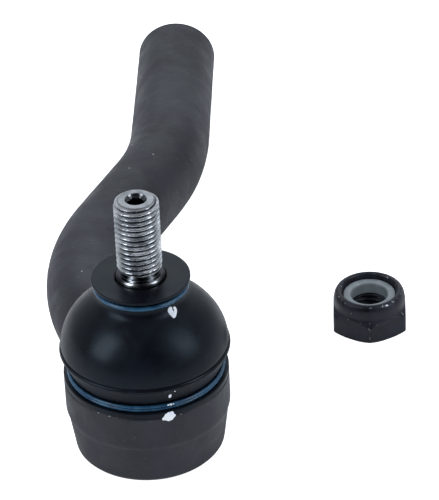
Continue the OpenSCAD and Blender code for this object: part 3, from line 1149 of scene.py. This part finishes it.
# paint daubs
daubs = {
    # piece: surface, azimuth from the front, height, thickness, tilt, and the reach of the
    # outline in evenly spaced directions
    "daubTop": ("shoulder", 45.0, 47.35, 0.22, -0.42,
                (1.35, 1.6, 1.6, 1.0, 1.55, 1.6, 1.4, 1.2, 1.3, 1.95, 1.4, 1.2)),
    "daubDrop": ("band", 20.4, 28.4, 0.16, -0.1, (0.3, 0.5, 0.95, 0.7, 0.35, 0.5, 0.75, 0.45)),
    "daubDot": ("band", 23.4, 30.2, 0.08, 0.0, (0.20, 0.24, 0.22, 0.18)),
    "daubRingLeft": ("ring", 18.6, 25.6, 0.06, 0.0, (0.364, 0.182, 0.156, 0.208)),
    "daubRingMiddle": ("ring", 20.4, 25.6, 0.06, 0.0, (0.56, 0.28, 0.24, 0.32)),
    "daubRingRight": ("ring", 22.5, 25.6, 0.06, 0.0, (0.308, 0.154, 0.132, 0.176)),
    "daubHead": ("wall", 18.6, 22.6, 0.2, 0.0,
                 (1.85, 1.35, 1.55, 1.75, 1.35, 1.5, 1.3, 1.5, 1.35, 1.65, 2.25, 1.5, 1.4, 1.55,
                  1.35, 1.5, 1.3, 1.5)),
}
daubHoles = {"daubTop": (0.42, 0.4, 0.2, 0.5)}  # place across and up, half width and height


def makeDaub(name, line, azimuth, height, thickness, tilt, outline):
    # The outline starts to the right and turns upwards. Its points are laid on the turned
    # surface `line`: distance across is an arc round the axis and distance up follows the
    # profile. Thickness falls off as 1 - q^4 from the middle to the rim, and a hole dips
    # under the surface.
    a = circle(60)[0]
    knots = np.linspace(0, 2 * np.pi, len(outline) + 1)
    reach = np.interp(a, knots, [*outline, outline[0]])
    reach = (reach + np.roll(reach, 1) + np.roll(reach, -1)) / 3
    q = np.concatenate([np.linspace(0.15, 1, 6), np.linspace(1, 0.06, 12)])[:, None]
    across, along = q * reach * np.cos(a + tilt), q * reach * np.sin(a + tilt)
    uneven = ripple(np.stack([across, along, 0 * across], -1), 1.6, 21)
    lift = thickness * (1 - q ** 4) * (0.8 + 0.45 * uneven)
    if name in daubHoles:
        x, y, wide, tall = daubHoles[name]
        lift -= 1.8 * thickness * np.exp(-((across - x) / wide) ** 2 - ((along - y) / tall) ** 2)
    lift = np.maximum(lift, -0.08)
    lift[:6] = -0.12  # the underside lies just under the surface
    far = np.concatenate([[0], np.cumsum(np.linalg.norm(np.diff(line, axis=0), axis=1))])
    place = np.interp(height, line[:, 1], far) + along

    def onLine(place):
        return np.stack([np.interp(place, far, line[:, 0]), np.interp(place, far, line[:, 1])])

    r, z = onLine(place)
    ahead = onLine(place + 0.4) - onLine(place - 0.4)
    ahead /= np.linalg.norm(ahead, axis=0)
    radius, z = r + ahead[1] * lift, z - ahead[0] * lift
    turn = math.radians(azimuth - 90) + across / r
    points = np.stack([radius * np.cos(turn), radius * np.sin(turn), z], -1)
    piece = skin(name, points, startPole=True, endPole=True, sharpAngle=70)
    return finishPiece(piece, "paint", "boot_rubber", None)


def makeDaubs():
    shoulder = upperOutline()[:40]
    band = np.vstack([lowerOutside()[-30:], domeLine(0.06, 0.3, 0, 6)])
    ring = bowl(ringSizes["lowWire"] + 0.01, 0, -60, 60, 13)
    lines = {
        "shoulder": shoulder[:int(np.argmax(shoulder[:, 1] > 49.5))],
        "band": band[band[:, 1] > 26.0],
        "ring": ring + np.array([ringSizes["lowRadius"], ringSizes["lowHeights"][1]]),
        # up the head's wall and the edge of the boot's lip, then in over the lip
        "wall": np.array([(22.2, 19.0), (22.21, 22.0), (22.22, 22.4), (22.22, 24.0),
                          (21.9, 24.12), (20.4, 24.15)]),
    }
    for name, (surface, *values) in daubs.items():
        piece = makeDaub(name, lines[surface], *values)
        if surface in ("shoulder", "band"):
            followBoot(piece)
        else:
            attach(piece, "housing")


makeDaubs()
print("paint daubed on")


# floor, lights and surroundings
studio = {
    "floorSize": 6.0,
    "paper": (lit(246, 246, 248), lit(250, 250, 251)),
    "paperGrain": (0.002, 0.4),
    "floorGlow": 0.14,
    "floorSeen": 0.86,  # extra glow that only the camera sees, so the paper reads as pure white
    "surroundFront": 0.05,
    "surroundBack": 0.62,
    "tint": (0.88, 0.94, 1.0),
    "aim": (15, 50, 25),  # where the lights point, in millimetres
    "lights": [
        # name, azimuth and elevation seen from the part, distance, width, height, power
        ("leftBox", -60, 33, 1.1, 0.45, 0.75, 5.2),
        ("rightBox", 68, 33, 1.1, 0.42, 0.75, 3.9),
        ("backBox", 178, 46, 1.3, 1.6, 1.0, 4.4),
    ],
}


def makeFloor():
    half = studio["floorSize"] / 2
    mesh = bpy.data.meshes.new("floor")
    mesh.from_pydata([(-half, -half, 0), (half, -half, 0), (half, half, 0), (-half, half, 0)], [],
                     [(0, 1, 2, 3)])
    floor = bpy.data.objects.new("floor", mesh)
    bpy.context.scene.collection.objects.link(floor)
    material, tree, shader, place = newFinish("floorPaper", 0.9, 0.2)
    grain = grainOn(tree, place, *studio["paperGrain"])
    colour = blendColours(tree, grain.outputs["Patches"], *studio["paper"])
    seen = tree.nodes.new("ShaderNodeLightPath").outputs["Is Camera Ray"]
    glow = addNode(tree, "ShaderNodeMath", {0: seen, 1: studio["floorSeen"],
                                            2: studio["floorGlow"]}, operation="MULTIPLY_ADD")
    shader.inputs["Emission Color"].default_value = (1, 1, 1, 1)
    feed(tree, shader, Base_Color=colour, Emission_Strength=glow.outputs[0])
    mesh.materials.append(material)


def makeLights():
    aim = Vector(studio["aim"]) * mm
    for name, azimuth, elevation, distance, width, height, power in studio["lights"]:
        a, e = math.radians(azimuth), math.radians(elevation)
        way = Vector((math.sin(a) * math.cos(e), -math.cos(a) * math.cos(e), math.sin(e)))
        data = bpy.data.lights.new(name, "AREA")
        data.shape = "RECTANGLE"
        data.size, data.size_y = width, height
        data.energy = power
        data.color = studio["tint"]
        light = bpy.data.objects.new(name, data)
        light.location = aim + way * distance
        light.rotation_mode = "QUATERNION"
        light.rotation_quaternion = (-way).to_track_quat("-Z", "Y")
        bpy.context.scene.collection.objects.link(light)


def makeSurroundings():
    world = bpy.data.worlds.new("surroundings")
    world.use_nodes = True
    tree = world.node_tree
    background = tree.nodes.get("Background")
    background.inputs["Color"].default_value = (*studio["tint"], 1)
    # a white backdrop behind the part, and the darker room on the camera's side
    way = addNode(tree, "ShaderNodeSeparateXYZ", {
        "Vector": tree.nodes.new("ShaderNodeTexCoord").outputs["Generated"]})
    strength = addNode(tree, "ShaderNodeMapRange", {
        "Value": way.outputs["Y"], "From Min": -0.8, "From Max": 0.8,
        "To Min": studio["surroundFront"], "To Max": studio["surroundBack"]})
    tree.links.new(strength.outputs[0], background.inputs["Strength"])
    bpy.context.scene.world = world
    bpy.context.scene.view_settings.view_transform = "Standard"


makeFloor()
makeLights()
makeSurroundings()
print("studio lit")
